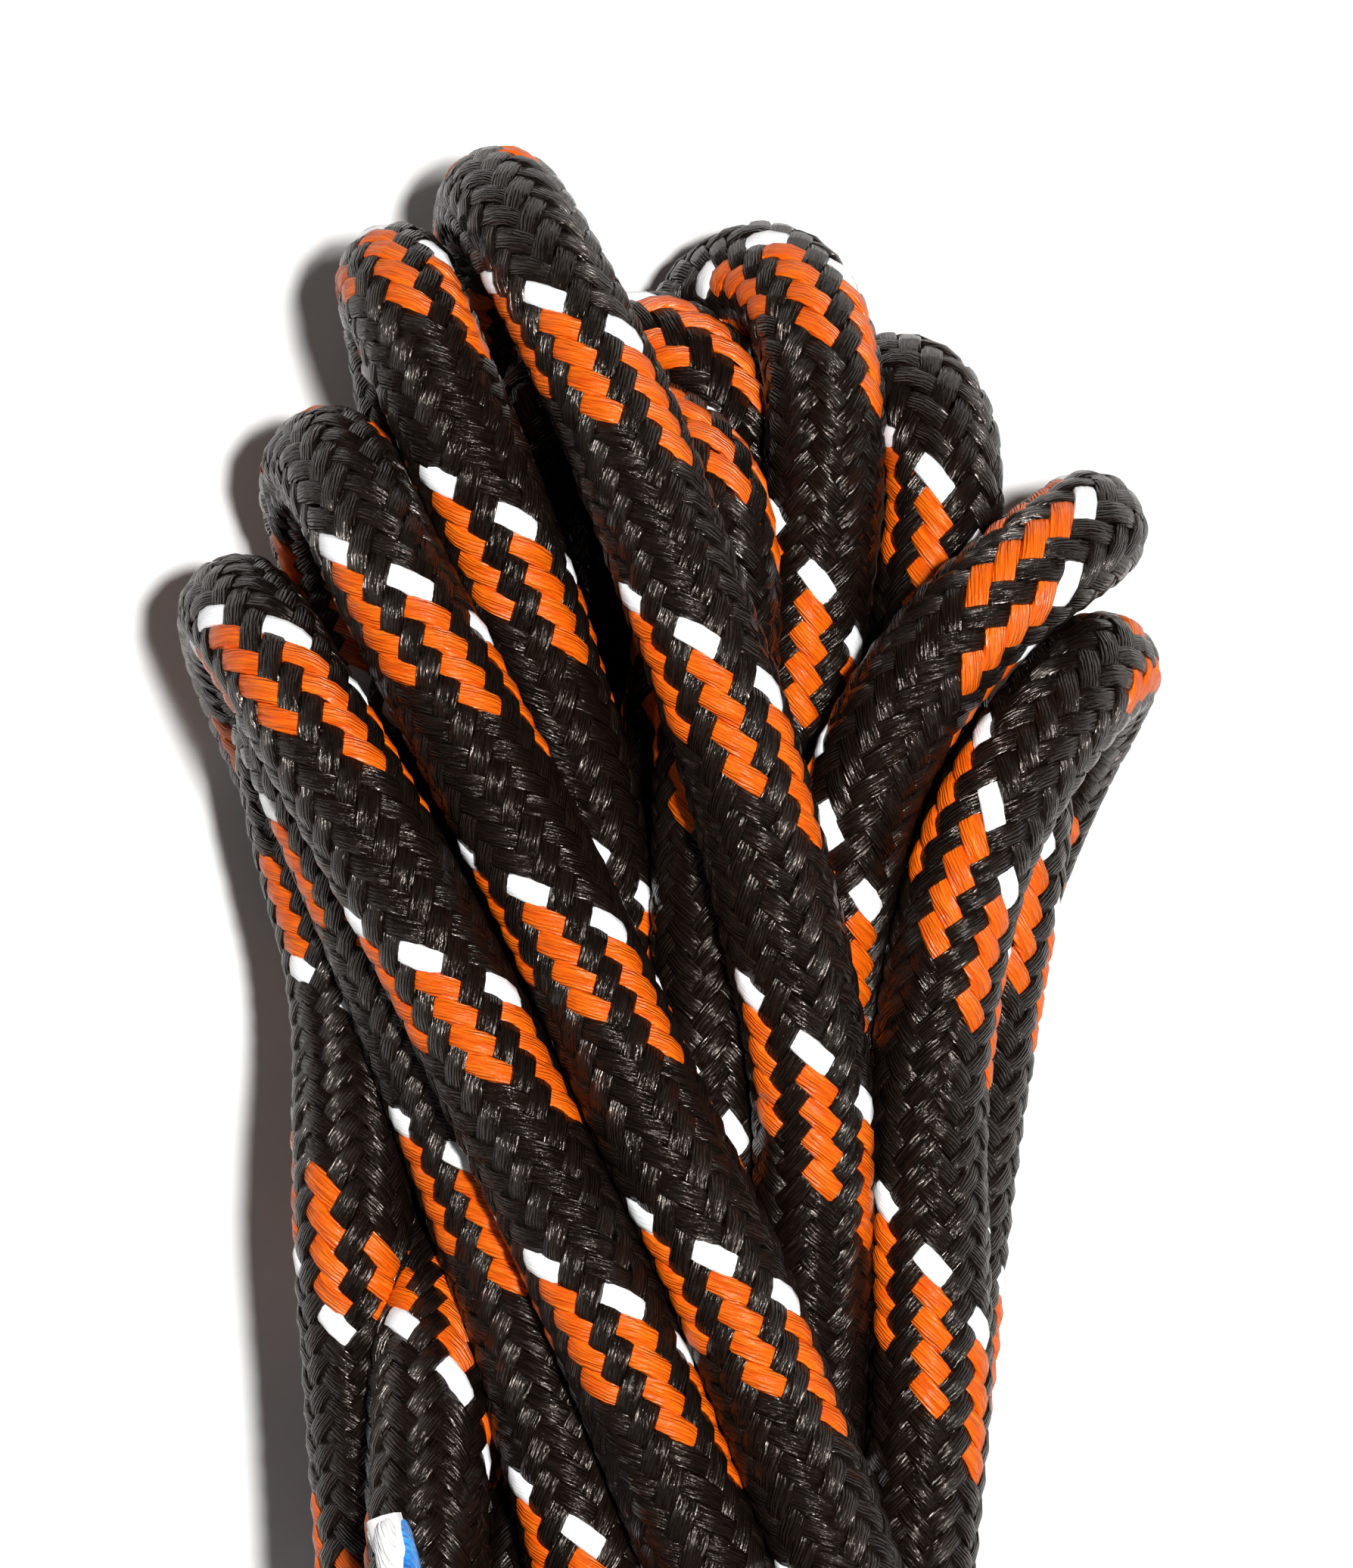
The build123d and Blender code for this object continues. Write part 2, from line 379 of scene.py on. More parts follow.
def points_along(curve_piece, step):
    """Points a step apart along a curve's own line, read from it while it has no bevel."""
    bpy.context.view_layer.update()
    mesh = bpy.data.meshes.new_from_object(curve_piece)
    found = np.zeros(len(mesh.vertices) * 3)
    mesh.vertices.foreach_get("co", found)
    bpy.data.meshes.remove(mesh)
    return evenly(found.reshape(-1, 3), step)


# ---------------------------------------------------------------- frames along a line

def frames_along(points):
    """Tangent, normal and side at each point, with no twist of their own."""
    tangents = np.gradient(points, axis=0)
    for _ in range(2):
        tangents[1:-1] = tangents[1:-1] / 2 + (tangents[:-2] + tangents[2:]) / 4
    tangents /= np.linalg.norm(tangents, axis=1)[:, None]
    normals = np.zeros_like(points)
    normal = np.cross(tangents[0], (1.0, 0.0, 0.0))
    for i, tangent in enumerate(tangents):
        normal = normal - tangent * normal.dot(tangent)
        normal = normal / math.sqrt(normal.dot(normal))
        normals[i] = normal
    return tangents, normals, np.cross(tangents, normals)


# ---------------------------------------------------------------- the braided sheath

ROPE_SEED = 7
LEAD = 30.6               # rope length in which one yarn goes once round
YARNS = 12                # yarns that wind each way
FLOATS = 6                # times that a yarn lies on top in one turn round
STEPS_PER_LEAD = 36
YARN_R = 4.24             # mean distance of a yarn's middle from the rope's
YARN_WAVE = 0.34          # how far it rises over and dips under the yarns that it crosses
YARN_HALF = (1.02, 0.44)  # half its width and half its thickness
YARN_STRAY = ((9, 0.012), (7, 0.022), (11, 0.03))  # of angle, distance out and width: reach in rings, size
FLOAT_SQUARE = 0.8        # below 1, floats are flatter on top and dive more steeply
WHITE_YARN = 4            # the reflective yarn, after four orange ones
INSIDE_R = 3.95           # rope without its sheath
LEAD_SPREAD = 0.1         # share of a lead by which the pattern may shift between two known floats,
TWIST_SPREAD = 0.8        # as readily as it may twist by this angle
FLOATS_TRIED = 3          # how many floats the pattern may be early or late by
BESIDE_MOST = 0.95        # how far a float that shows may be from the rope's middle, in its radii
FOOT_TIPS = -60.0         # every strand turns back beyond this at the foot
HEAD_FROM = 5.0           # the photo's floats all lie beyond this, towards the head
CHART_RINGS = 72          # rings of a yarn that one width of its chart holds, after which it starts again
CHART_FILL = 0.96         # share of its band of the chart that a yarn takes up

CONTACT_STEP = 3.0        # distance between the places that are looked at for a neighbour's pressure
CONTACT_REACH = 1.04      # diameters within which a neighbour presses
CONTACT_SKIP = 2.0        # diameters along the rope within which it doesn't press on itself
CONTACT_GAP = 0.02        # what is left between a pressed sheath and the plane between two strands
NOT_PRESSED = 99.0

# Reflective floats that show from above: index of the turn, 1 if the strand runs up to the head and -1 if
# it comes back, and the float's x and y at the height that the camera looks at.
WHITE_FLOATS = (
    (0, 1, -33.3, 71.7), (0, 1, -20.5, 47.0), (0, 1, -5.3, 13.7),
    (0, -1, -25.6, 32.0),
    (1, 1, -33.9, 85.6), (1, 1, -18.5, 60.5), (1, 1, -1.9, 33.2),
    (1, -1, -20.3, 28.8),
    (2, 1, -18.9, 90.3), (2, 1, -10.0, 66.1), (2, 1, 5.0, 37.0),
    (3, 1, -20.4, 118.6), (3, 1, -17.7, 99.2), (3, 1, -5.2, 70.5),
    (4, 1, -8.2, 112.7), (4, 1, 3.7, 86.3), (4, 1, 12.8, 54.3),
    (5, 1, -1.8, 108.4), (6, 1, -4.6, 114.6),
    (7, 1, 11.5, 117.3), (7, 1, 13.4, 92.1),
    (8, 1, 22.5, 98.4),
    (9, 1, 26.0, 39.9),
    (10, 1, 27.0, 72.7), (10, 1, 22.4, 36.5),
    (11, 1, 32.4, 96.2),
)


def turn_of(points):
    """Index of the turn that each point belongs to, and whether it runs towards the head."""
    rising = np.gradient(points[:, 1]) > 0
    turns, turn = np.zeros(len(points), int), 0
    for i in range(1, len(points)):
        if rising[i] and not rising[i - 1] and points[i, 1] < FOOT_TIPS:
            turn += 1
        turns[i] = turn
    return np.maximum(turns - turns[np.argmax(points[:, 1] > 0)], 0), np.where(rising, 1, -1)


def braid_phase(points, frames, step):
    """Turn of the whole braid and leads passed at each point, so that known floats fall where they show."""
    tangents, normals, sides = frames
    turns, ways = turn_of(points)
    along = np.arange(len(points)) * step
    closer = CAMERA_DISTANCE / (CAMERA_DISTANCE + CAMERA_TARGET[2] - points[:, 2] - ROPE_R)
    at, columns, leads = [0.0], [0.0], [0.0]
    found = []
    for turn, way, x, y in WHITE_FLOATS:
        mine = np.flatnonzero((turns == turn) & (ways == way) & (points[:, 1] > HEAD_FROM))
        seen = CAMERA_TARGET[:2] + (points[mine, :2] - CAMERA_TARGET[:2]) * closer[mine, None]
        i = np.argmin(np.hypot(seen[:, 0] - x, seen[:, 1] - y))
        found.append((mine[i], (x - seen[i, 0]) / closer[mine[i]], (y - seen[i, 1]) / closer[mine[i]]))
    for i, off_x, off_y in sorted(found):
        tangent = tangents[i]
        up = np.array([0.0, 0.0, 1.0]) - tangent * tangent[2]
        up /= np.linalg.norm(up)
        right = np.cross(tangent, up)
        beside = np.clip((off_x * right[0] + off_y * right[1]) / ROPE_R, -BESIDE_MOST, BESIDE_MOST)
        facing = math.atan2(up.dot(sides[i]), up.dot(normals[i])) + math.asin(beside)
        passed = along[i] / LEAD + leads[-1] - at[-1] / LEAD
        choices = []
        for more in range(-FLOATS_TRIED, FLOATS_TRIED + 1):
            lead = (round(FLOATS * passed) + more) / FLOATS
            column = facing - 2 * math.pi * (WHITE_YARN / YARNS - lead)
            column -= 2 * math.pi * round((column - columns[-1]) / (2 * math.pi))
            cost = ((lead - passed) / LEAD_SPREAD) ** 2 + ((column - columns[-1]) / TWIST_SPREAD) ** 2
            choices.append((cost, column, lead))
        _, column, lead = min(choices)
        at.append(along[i])
        columns.append(column)
        leads.append(lead)
    extra = np.interp(along, at, np.array(leads) - np.array(at) / LEAD)
    return np.interp(along, at, columns), along / LEAD + extra


def wander(random, count, reach, size):
    """A smooth random line of a given size."""
    knots = random.normal(0, size, int(count / reach) + 3)
    return np.interp(np.arange(count) / reach, np.arange(len(knots)), knots)


def contact_planes(points, step):
    """For each point of the rope, the directions and half distances of the strands that press on it."""
    every = max(1, int(round(CONTACT_STEP / step)))
    chosen = np.arange(0, len(points), every)
    tree = KDTree(len(chosen))
    for i in chosen:
        tree.insert(points[i], int(i))
    tree.balance()
    skip = int(CONTACT_SKIP * ROPE_D / step)
    found = []
    for i, point in enumerate(points):
        near = tree.find_range(point, CONTACT_REACH * ROPE_D)
        found.append([(place, distance) for place, j, distance in near if abs(j - i) > skip])
    most = max(len(near) for near in found)
    ways, halves = np.zeros((len(points), most, 3)), np.full((len(points), most), NOT_PRESSED)
    for i, near in enumerate(found):
        for k, (place, distance) in enumerate(near):
            ways[i, k] = (np.array(place) - points[i]) / distance
            halves[i, k] = distance / 2
    return ways, halves


def pressed(vertices, points, planes):
    """Vertices with one row per rope point, pushed back to the planes where neighbouring strands meet."""
    ways, halves = planes
    for k in range(ways.shape[1]):
        way = ways[:, k][:, None, :]
        over = ((vertices - points[:, None, :]) * way).sum(2) - (halves[:, k][:, None] - CONTACT_GAP)
        vertices = vertices - way * np.maximum(over, 0)[:, :, None]
    return vertices


# Sections of a yarn of the sheath, a flat bundle, and of a ply of the tie, which is round: across and up,
# as shares of half the width and half the thickness.
FLAT = np.array((
    (1.0, 0.0), (0.80, 0.74), (0.30, 1.0), (-0.30, 1.0),
    (-0.80, 0.74), (-1.0, 0.0), (-0.5, -0.8), (0.5, -0.8),
))
ROUND = np.array([(math.cos(math.pi * k / 5), math.sin(math.pi * k / 5)) for k in range(10)])


def yarn_rings(points, frames, columns, leads, index, way, random):
    """Rings of vertices along one yarn of the braid, and their place across and along it."""
    count = len(points)
    of_angle, of_radius, of_width = YARN_STRAY
    angle = 2 * math.pi * (index / YARNS - way * leads)
    if way < 0:
        angle = angle + math.pi / YARNS
    angle = angle + wander(random, count, *of_angle)
    lift = np.cos(FLOATS * angle)
    lift = np.sign(lift) * np.abs(lift) ** FLOAT_SQUARE
    radius = YARN_R + way * YARN_WAVE * lift + wander(random, count, *of_radius)
    turned = angle + columns
    _, normals, sides = frames
    outward = normals * np.cos(turned)[:, None] + sides * np.sin(turned)[:, None]
    middle = points + outward * radius[:, None]
    ahead = np.gradient(middle, axis=0)
    ahead /= np.linalg.norm(ahead, axis=1)[:, None]
    across = np.cross(ahead, outward)
    across /= np.linalg.norm(across, axis=1)[:, None]
    above = np.cross(across, ahead)
    half_width = YARN_HALF[0] * (1 + wander(random, count, *of_width))
    wide = across[:, None, :] * (FLAT[None, :, :1] * half_width[:, None, None])
    thick = above[:, None, :] * (FLAT[None, :, 1:] * YARN_HALF[1])
    number = index + (YARNS if way < 0 else 0)
    return middle[:, None, :] + wide + thick, places_on(middle, FLAT[:, 0], number)


def places_on(middle, across, number):
    """For each vertex of a yarn's rings, how far it is across and along the yarn, and the yarn's number."""
    place = np.zeros((len(middle), len(across), 3))
    place[:, :, 0] = across[None, :]
    place[:, :, 1] = distances(middle)[:, None]
    place[:, :, 2] = number
    return place


def mesh_piece(name, vertices, quads, place, chart, material):
    """A smooth mesh of quads, in metres, that remembers each vertex's place on its yarn."""
    mesh = bpy.data.meshes.new(name)
    mesh.vertices.add(len(vertices))
    mesh.vertices.foreach_set("co", vertices.astype(np.float32).ravel())
    mesh.loops.add(quads.size)
    mesh.loops.foreach_set("vertex_index", quads.astype(np.int32).ravel())
    mesh.polygons.add(len(quads))
    mesh.polygons.foreach_set("loop_start", np.arange(0, quads.size, 4, dtype=np.int32))
    mesh.update(calc_edges=True)
    mesh.polygons.foreach_set("use_smooth", np.ones(len(quads), bool))
    on_yarn = mesh.attributes.new("yarn", "FLOAT_VECTOR", "POINT")
    on_yarn.data.foreach_set("vector", place.astype(np.float32).ravel())
    mesh.uv_layers.new(name="OFBake").data.foreach_set("uv", chart.astype(np.float32).ravel())
    mesh.materials.append(material)
    piece = bpy.data.objects.new(name, mesh)
    bpy.context.scene.collection.objects.link(piece)
    return piece


def tube_quads(count, sides):
    """Quads of one closed tube of count rings with an even number of sides, and their steps on its chart."""
    ring, corner = np.meshgrid(np.arange(count - 1), np.arange(sides), indexing="ij")
    following = (corner + 1) % sides
    low, high = ring * sides, (ring + 1) * sides
    walls = np.stack([low + corner, high + corner, high + following, low + following], 2).reshape(-1, 4)
    left, right = ring % CHART_RINGS, ring % CHART_RINGS + 1
    across = np.stack([corner, corner, corner + 1, corner + 1], 2).reshape(-1, 4)
    along = np.stack([left, right, right, left], 2).reshape(-1, 4)
    cap = np.array([(k, k + 1, sides - 2 - k, sides - 1 - k) for k in range(sides // 2 - 1)])
    quads = np.concatenate([walls, cap, cap[:, ::-1] + (count - 1) * sides])
    chart = np.zeros((len(quads), 4, 2))
    chart[:len(walls)] = np.stack([along / CHART_RINGS, across / sides], 2)
    return quads, chart


def yarns_piece(name, strands, material):
    """One mesh of several closed yarns, each with its own band of the chart."""
    vertices, quads, charts, places, start = [], [], [], [], 0
    for band, (rings, place) in enumerate(strands):
        faces, chart = tube_quads(*rings.shape[:2])
        chart[:, :, 1] = (band + (1 - CHART_FILL) / 2 + CHART_FILL * chart[:, :, 1]) / len(strands)
        vertices.append(rings.reshape(-1, 3))
        places.append(place.reshape(-1, 3))
        quads.append(faces + start)
        charts.append(chart)
        start += rings.shape[0] * rings.shape[1]
    vertices, quads, places, charts = (np.concatenate(rows) for rows in (vertices, quads, places, charts))
    return mesh_piece(name, vertices * MM, quads, places, charts, material)


# ---------------------------------------------------------------- materials

def node(tree, kind, **inputs):
    """A node with its inputs set or linked by name."""
    made = tree.nodes.new(kind)
    for key, value in inputs.items():
        socket = made.inputs[key.replace("_", " ")]
        if isinstance(value, bpy.types.NodeSocket):
            tree.links.new(value, socket)
        else:
            socket.default_value = value
    return made


def maths(tree, operation, *values):
    """The result of a sum on values or sockets."""
    made = tree.nodes.new("ShaderNodeMath")
    made.operation = operation
    for socket, value in zip(made.inputs, values):
        if isinstance(value, bpy.types.NodeSocket):
            tree.links.new(value, socket)
        else:
            socket.default_value = value
    return made.outputs[0]


def scaled(tree, socket, by):
    return maths(tree, "MULTIPLY", socket, by)


def ramp(tree, factor, stops):
    """The colour between stops of position and colour."""
    made = tree.nodes.new("ShaderNodeValToRGB")
    tree.links.new(factor, made.inputs[0])
    while len(made.color_ramp.elements) < len(stops):
        made.color_ramp.elements.new(1.0)
    for element, (position, colour) in zip(made.color_ramp.elements, stops):
        element.position = position
        element.color = (*colour, 1.0)
    return made.outputs[0]


def new_material(name):
    material = bpy.data.materials.new(name)
    material.use_nodes = True
    return material, material.node_tree, material.node_tree.nodes["Principled BSDF"]


def noise(tree, across, along, number, scales, **settings):
    """Noise that is stretched along a yarn and different on each one."""
    place = node(tree, "ShaderNodeCombineXYZ", X=scaled(tree, across, scales[0]),
                 Y=scaled(tree, along, scales[1]), Z=scaled(tree, number, scales[2]))
    return node(tree, "ShaderNodeTexNoise", Vector=place.outputs[0], Scale=1.0, **settings).outputs["Fac"]


def finish_surface(tree, shader, grain, colour, rough, height, bump, distance):
    """Links a surface's colour, its roughness as it varies with a grain, and its relief."""
    tree.links.new(colour, shader.inputs["Base Color"])
    tree.links.new(maths(tree, "ADD", scaled(tree, grain, rough[1]), rough[0]), shader.inputs["Roughness"])
    raised = node(tree, "ShaderNodeBump", Strength=bump, Distance=distance, Height=height)
    tree.links.new(raised.outputs[0], shader.inputs["Normal"])


def yarn_material(name, dark, light, roughness, specular, bump, sheen=0.0, skew=0.10, tint=(1.0, 1.0, 1.0)):
    """Glossy bundles of fine filaments that run along each yarn, slanting across it by its skew."""
    material, tree, shader = new_material(name)
    place = tree.nodes.new("ShaderNodeAttribute")
    place.attribute_name = "yarn"
    across, along, number = node(tree, "ShaderNodeSeparateXYZ", Vector=place.outputs["Vector"]).outputs
    slanted = maths(tree, "ADD", across, scaled(tree, along, skew))
    coarse = noise(tree, slanted, along, number, (1.6, 0.30, 3.1), Detail=2.0)
    fine = noise(tree, slanted, along, number, (6.0, 0.45, 7.3), Detail=3.0, Roughness=0.6)
    bundles = maths(tree, "ADD", scaled(tree, slanted, 3.6), scaled(tree, coarse, 2.6))
    ridges = maths(tree, "PINGPONG", bundles, 0.5)
    height = maths(tree, "ADD", scaled(tree, ridges, 0.9), scaled(tree, fine, 0.8))
    mixed = maths(tree, "ADD", scaled(tree, fine, 0.6), scaled(tree, coarse, 0.4))
    colour = ramp(tree, mixed, ((0.36, dark), (0.62, light)))
    finish_surface(tree, shader, fine, colour, (roughness - 0.12, 0.24), height, bump, 0.00024)
    shader.inputs["Specular IOR Level"].default_value = specular
    shader.inputs["Specular Tint"].default_value = (*tint, 1.0)
    shader.inputs["Sheen Weight"].default_value = sheen
    return material


def grained_material(name, dark, light, roughness, scale, bump, distance=0.0002):
    """A surface with fine grain, for melted, moulded or woven bits and the floor."""
    material, tree, shader = new_material(name)
    where = tree.nodes.new("ShaderNodeTexCoord").outputs["Object"]
    grains = node(tree, "ShaderNodeTexNoise", Vector=where, Scale=scale, Detail=6.0, Roughness=0.6)
    grain = grains.outputs["Fac"]
    colour = ramp(tree, grain, ((0.35, dark), (0.65, light)))
    finish_surface(tree, shader, grain, colour, (roughness - 0.1, 0.2), grain, bump, distance)
    return material


black = yarn_material("black_yarn", (0.0030, 0.0017, 0.0012), (0.0090, 0.0050, 0.0035), 0.22, 0.50, 1.0,
                      tint=(1.0, 0.86, 0.78))
orange = yarn_material("orange_yarn", (0.74, 0.078, 0.001), (0.92, 0.168, 0.004), 0.34, 0.42, 1.0)
white = yarn_material("reflective_yarn", (0.93, 0.95, 0.96), (1.0, 1.0, 1.0), 0.45, 0.4, 0.2)
# Painted shade: the rope's inside, off-white on the real rope, is coloured near-black so that the gaps
# between the yarns read as shade.
painted_shade_inside = grained_material("rope_inside", (0.0035, 0.0025, 0.002), (0.008, 0.005, 0.004), 0.7, 900.0, 0.4)
tie_white = yarn_material("tie_white_ply", (0.62, 0.60, 0.57), (0.93, 0.92, 0.90), 0.7, 0.3, 1.0, 0.6, 0.5)
tie_blue = yarn_material("tie_blue_ply", (0.004, 0.10, 0.42), (0.01, 0.30, 0.80), 0.5, 0.4, 1.0, 0.3, 0.5)
sleeve = grained_material("shrunk_sleeve", (0.012, 0.012, 0.013), (0.03, 0.03, 0.032), 0.42, 700.0, 0.35)
melted = grained_material("melted_sheath", (0.008, 0.006, 0.005), (0.05, 0.03, 0.02), 0.25, 500.0, 0.8,
                          0.0004)
core = grained_material("core_yarns", (0.62, 0.56, 0.44), (0.86, 0.82, 0.72), 0.55, 1500.0, 0.9, 0.0004)

END_LOOKS = (("end_sleeve", sleeve), ("sheath_end", melted), ("core_end", core))


# ---------------------------------------------------------------- the rope

def finish_inside(piece, radius, ring, steps, material):
    """Gives a cord's line its thickness, and closes its ends."""
    piece.data.bevel_depth = radius * MM
    piece.data.bevel_resolution = ring
    piece.data.resolution_u = steps
    piece.data.use_fill_caps = True
    piece.data.materials.append(material)
    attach(piece, "root")


def build_rope():
    """The rope on its settled line: its inside, and the yarns of its sheath."""
    hank = hank_line()[::EVERY]
    tail_a = [(x, y, floor_z) for x, y in reversed(TAIL_A[1:])]
    tail_b = [(x, y, floor_z) for x, y in TAIL_B[1:]]
    rope = nurbs("rope_inside", placed([*tail_a, *hank, *tail_b]))
    step = LEAD / STEPS_PER_LEAD
    line = points_along(rope, step * MM)
    points = line / MM - hank_origin
    frames = frames_along(points)
    columns, leads = braid_phase(points, frames, step)
    planes = contact_planes(points, step)
    groups = {"sheath_black_s": [], "sheath_black_z": [], "sheath_orange": [], "sheath_reflective": []}
    random = np.random.default_rng(ROPE_SEED)
    for way in (1, -1):
        for index in range(YARNS):
            rings, place = yarn_rings(points, frames, columns, leads, index, way, random)
            rings = pressed(rings, points, planes) + hank_origin
            if way < 0:
                groups["sheath_black_z"].append((rings, place))
            elif index < WHITE_YARN:
                groups["sheath_orange"].append((rings, place))
            elif index == WHITE_YARN:
                groups["sheath_reflective"].append((rings, place))
            else:
                groups["sheath_black_s"].append((rings, place))
    tracers = {"sheath_orange": (orange, "tracer_orange"), "sheath_reflective": (white, "tracer_reflective")}
    for name, strands in groups.items():
        material, slot = tracers.get(name, (black, "sheath_black"))
        piece = yarns_piece(name, strands, material)
        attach(piece, "root")
    finish_inside(rope, INSIDE_R, 3, 5, painted_shade_inside)
    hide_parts("rope_hank", "rope_tail_a", "rope_tail_b")


# ---------------------------------------------------------------- the tie

TIE_SEED = 3
TIE_STEP = 0.7            # distance between the rings of a ply
TIE_PLIES = 3
TIE_LAY = 24.0            # length in which a ply goes once round
TIE_TURNED = math.radians(-130)   # where the blue ply is at the end that shows
TIE_INSIDE = 0.40         # radius of what the plies lie round, in diameters of the tie
PLY_R = 0.99
PLY_STRAY = ((12, 0.08), (5, 0.04))   # of angle and of thickness: reach in rings, size
PLY_END = 1.2             # length in which a ply's cut end closes
PLY_END_LEAST = 0.06      # share of that length at its last ring
KNOT = (-13.0, 0.0, 53.8)
KNOT_HALF = 4.4           # half the knot's length
KNOT_TURNS = 1.5          # turns that the two ends make round each other in it
KNOT_STEPS = 12
KNOT_R = (2.5, 2.0)       # across and upright, of the ends' line in it
# The tie's free ends, from the knot outwards, as in the CAD source.
TIE_TAIL_A = ((-15.5, 4.5, 54.6), (-17.6, 9.0, 53.4), (-19.4, 13.5, 51.6), (-20.8, 18.0, 50.4))
TIE_TAIL_B = ((-10.5, -4.5, 54.6), (-7.5, -8.5, 53.6), (-3.0, -11.5, 52.6), (2.5, -13.0, 52.2))


def knot_end(phase):
    """One end of the tie in the knot, from its +Y side to its -Y side, winding round the other."""
    points = []
    for k in range(KNOT_STEPS + 1):
        share = k / KNOT_STEPS
        angle = phase + 2 * math.pi * KNOT_TURNS * share
        y = KNOT[1] + KNOT_HALF * (2 * share - 1)
        points.append((KNOT[0] + KNOT_R[0] * math.cos(angle), y, KNOT[2] + KNOT_R[1] * math.sin(angle)))
    return points[::-1]


def tie_line():
    """The tie from one free end, through the knot, round the waist and through the knot again."""
    half_x, half_z = WAIST[0] / 2 + TIE_D / 2, WAIST[1] / 2 + TIE_D / 2
    corner = SHOULDER + TIE_D / 2
    knot_x = KNOT[0] - WAIST_X
    round_waist = [(x, half_z) for x in np.linspace(knot_x + 7, half_x - corner, 5)]
    for quarter, (side_x, side_z) in enumerate(((1, 1), (1, -1), (-1, -1), (-1, 1))):
        for k in range(5):
            angle = math.pi / 2 * (1 - quarter - k / 4)
            x = side_x * (half_x - corner) + corner * math.cos(angle)
            round_waist.append((x, side_z * (half_z - corner) + corner * math.sin(angle)))
        if side_z < 0 < side_x:
            round_waist += [(x, -half_z) for x in (8.0, 0.0, -8.0)]
        elif side_z > 0 > side_x:
            round_waist.append((knot_x - 5, half_z))
    points = [*TIE_TAIL_A[::-1], *knot_end(0.0)]
    points.append((KNOT[0] + 6.0, -TIE_D - 0.4, waist_middle + half_z + 1.2))
    for turn in range(TIE_TURNS):
        y = TIE_D * (turn - (TIE_TURNS - 1) / 2)
        points += [(WAIST_X + x, y, waist_middle + z) for x, z in round_waist]
    points.append((KNOT[0] - 5.5, TIE_D + 1.2, waist_middle + half_z + 0.6))
    return [*points, *knot_end(math.pi), *TIE_TAIL_B[1:]]


def build_tie():
    """The tie: a thin inside, and its three twisted plies."""
    tie = nurbs("tie_inside", placed(tie_line()))
    line = points_along(tie, TIE_STEP * MM)
    points = line / MM - hank_origin
    _, normals, sides = frames_along(points)
    along = np.arange(len(points)) * TIE_STEP
    random = np.random.default_rng(TIE_SEED)
    of_angle, of_size = PLY_STRAY
    white_plies, blue_plies = [], []
    from_end = np.minimum(along, along[-1] - along)
    closing = np.sqrt(1 - (1 - np.clip(from_end / PLY_END, PLY_END_LEAST, 1)) ** 2)
    for ply in range(TIE_PLIES):
        angle = 2 * math.pi * (ply / TIE_PLIES + along / TIE_LAY) + TIE_TURNED
        angle = angle + wander(random, len(points), *of_angle)
        outward = normals * np.cos(angle)[:, None] + sides * np.sin(angle)[:, None]
        beside = sides * np.cos(angle)[:, None] - normals * np.sin(angle)[:, None]
        middle = points + outward * (TIE_D / 2 - PLY_R)
        size = PLY_R * closing * (1 + wander(random, len(points), *of_size))
        around = beside[:, None, :] * ROUND[None, :, :1] + outward[:, None, :] * ROUND[None, :, 1:]
        rings = middle[:, None, :] + around * size[:, None, None] + hank_origin
        strand_of_ply = (rings, places_on(middle, ROUND[:, 0], ply))
        (white_plies if ply else blue_plies).append(strand_of_ply)
    plies = [yarns_piece("tie_plies_white", white_plies, tie_white),
             yarns_piece("tie_ply_blue", blue_plies, tie_blue)]
    for piece, slot in zip(plies, ("tie_white", "tie_blue")):
        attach(piece, "root")
    finish_inside(tie, TIE_INSIDE * TIE_D, 2, 4, tie_white)
    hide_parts("tie_tail_a", "tie_wraps", "tie_knot", "tie_tail_b")


def finish_ends():
    """Looks of the pieces that close the rope's ends, which keep their shapes."""
    for kind, material in END_LOOKS:
        for letter in "ab":
            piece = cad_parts[f"{kind}_{letter}"]
            piece.data.materials.clear()
            piece.data.materials.append(material)


build_rope()
build_tie()
finish_ends()


# ---------------------------------------------------------------- camera, floor and light

SENSOR = 36.0
FLOOR_SIZE = 6.0
FLOOR_DROP = 0.00005      # the floor is this much under the lowest point that the model may have
WORLD_COLOUR = (1.0, 0.99, 0.97, 1.0)
WORLD_STRENGTH = 0.08
# Lights: place from the camera's target and size in metres, watts.
KEY = ((0.07, 0.02, 0.46), 0.035, 2.6)
FILL = ((-0.5, -0.5, 0.7), 0.6, 0.3)
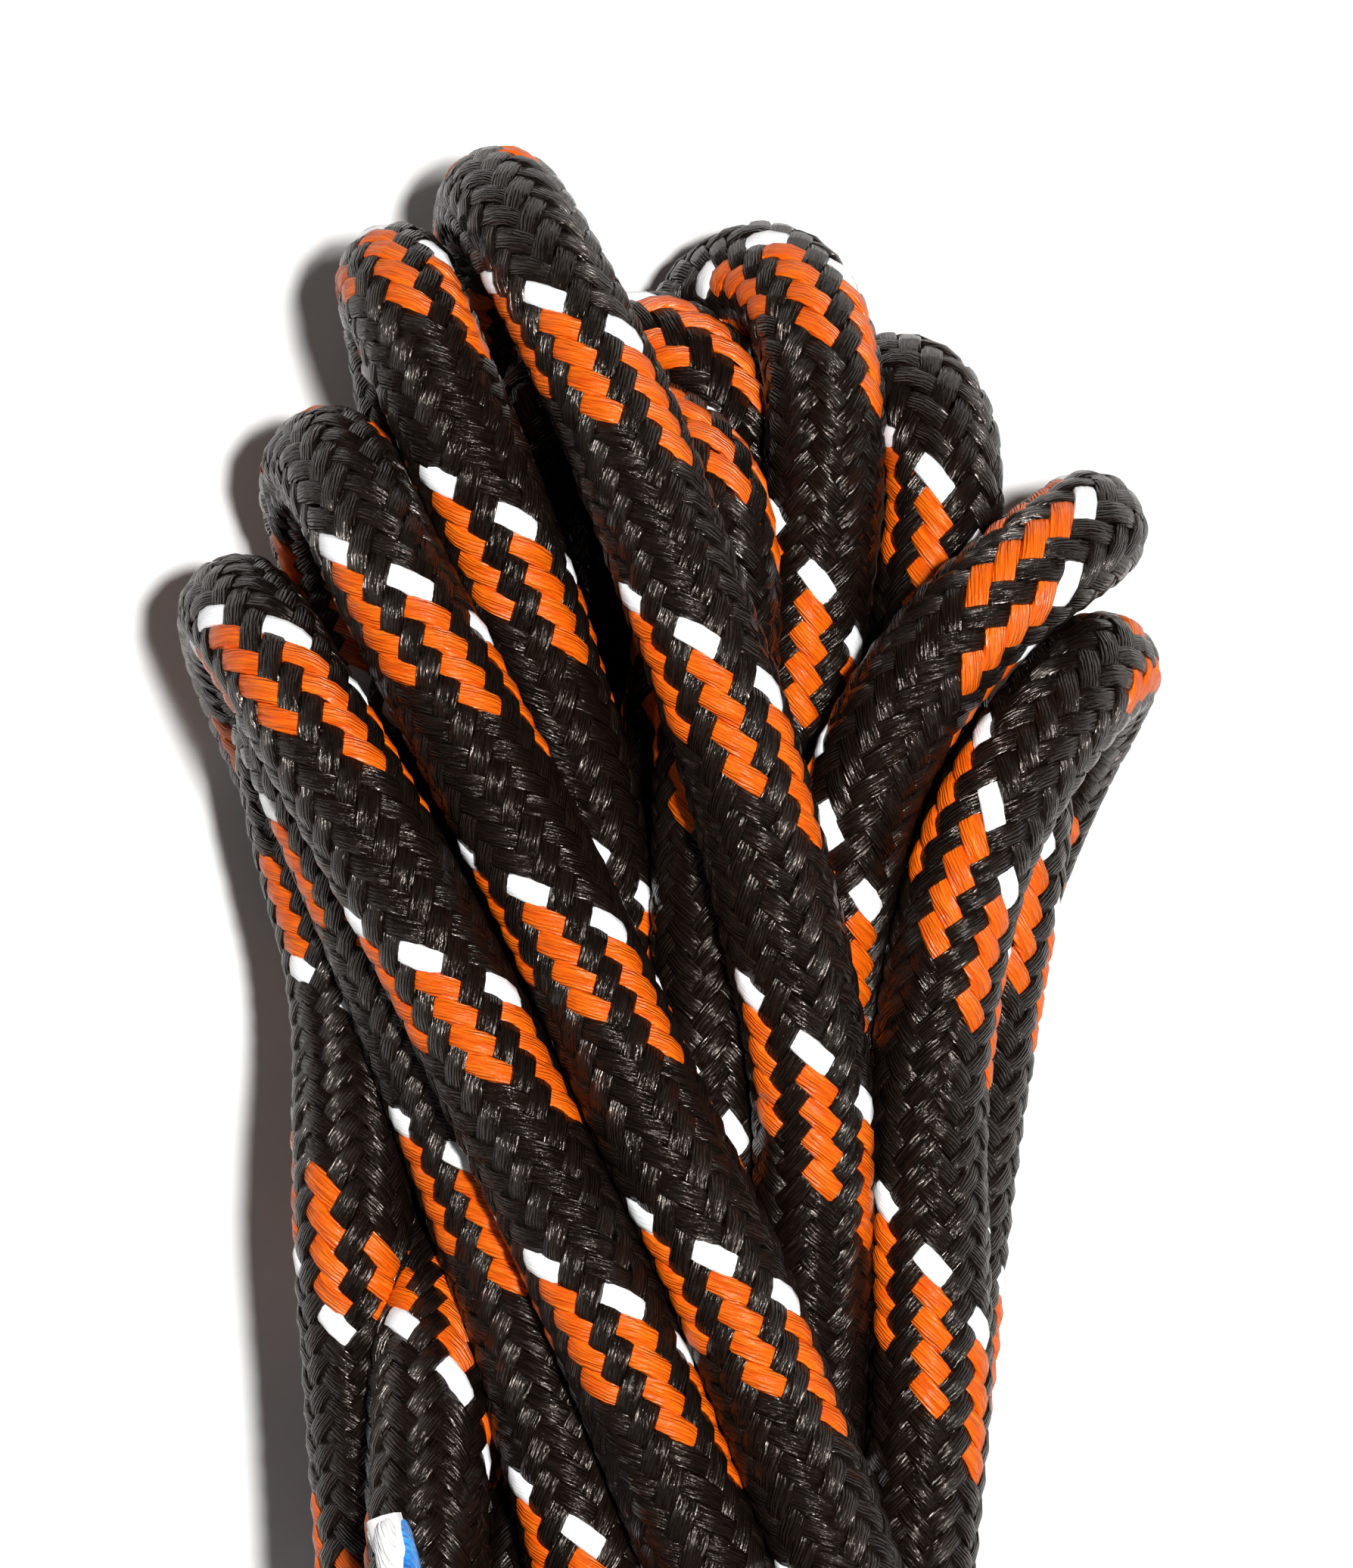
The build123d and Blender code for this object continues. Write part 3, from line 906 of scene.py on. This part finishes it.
# A parallel light that falls where the hank's left side has the key's light, and reaches the far floor.
WIDE_FROM = (0.105, 0.0, 0.46)
WIDE_STRENGTH = 1.3
WIDE_ANGLE = math.radians(4.5)


def build_camera():
    """The camera, which looks straight down as in the photo."""
    data = bpy.data.cameras.new("camera")
    camera = bpy.data.objects.new("camera", data)
    bpy.context.scene.collection.objects.link(camera)
    target = placed(CAMERA_TARGET)
    camera.location = (target[0], target[1], target[2] + CAMERA_DISTANCE * MM)
    data.sensor_width = SENSOR
    data.lens = data.sensor_width * CAMERA_DISTANCE / VIEW_HEIGHT
    data.clip_start = 0.01
    data.clip_end = 10.0
    bpy.context.scene.camera = camera
    return target


def add_light(data, target, offset):
    """An object for a light, at an offset from the target and aimed at it."""
    piece = bpy.data.objects.new(data.name, data)
    bpy.context.scene.collection.objects.link(piece)
    piece.location = target + np.array(offset)
    piece.rotation_euler = (Vector(target) - piece.location).to_track_quat("-Z", "Y").to_euler()


def build_lights(target):
    """A small strong light near the camera, as a flash is, its wide fellow, and a weak broad one."""
    for name, (offset, size, watts) in (("key", KEY), ("fill", FILL)):
        lamp = bpy.data.lights.new(name, "AREA")
        lamp.shape = "DISK"
        lamp.size = size
        lamp.energy = watts
        add_light(lamp, target, offset)
    wide = bpy.data.lights.new("wide", "SUN")
    wide.energy = WIDE_STRENGTH
    wide.angle = WIDE_ANGLE
    add_light(wide, target, WIDE_FROM)


def build_stage():
    """The pale floor and the light from all round."""
    bpy.ops.mesh.primitive_plane_add(size=FLOOR_SIZE, location=(0.0, 0.0, -FLOOR_DROP))
    floor = bpy.context.active_object
    floor.name = "floor"
    pale = grained_material("pale_floor", (0.80, 0.79, 0.77), (0.84, 0.83, 0.81), 0.8, 30.0, 0.02)
    floor.data.materials.append(pale)
    world = bpy.data.worlds.new("studio")
    world.use_nodes = True
    background = world.node_tree.nodes["Background"]
    background.inputs["Color"].default_value = WORLD_COLOUR
    background.inputs["Strength"].default_value = WORLD_STRENGTH
    bpy.context.scene.world = world
    bpy.context.scene.view_settings.view_transform = "Standard"


camera_target = build_camera()
build_lights(camera_target)
build_stage()
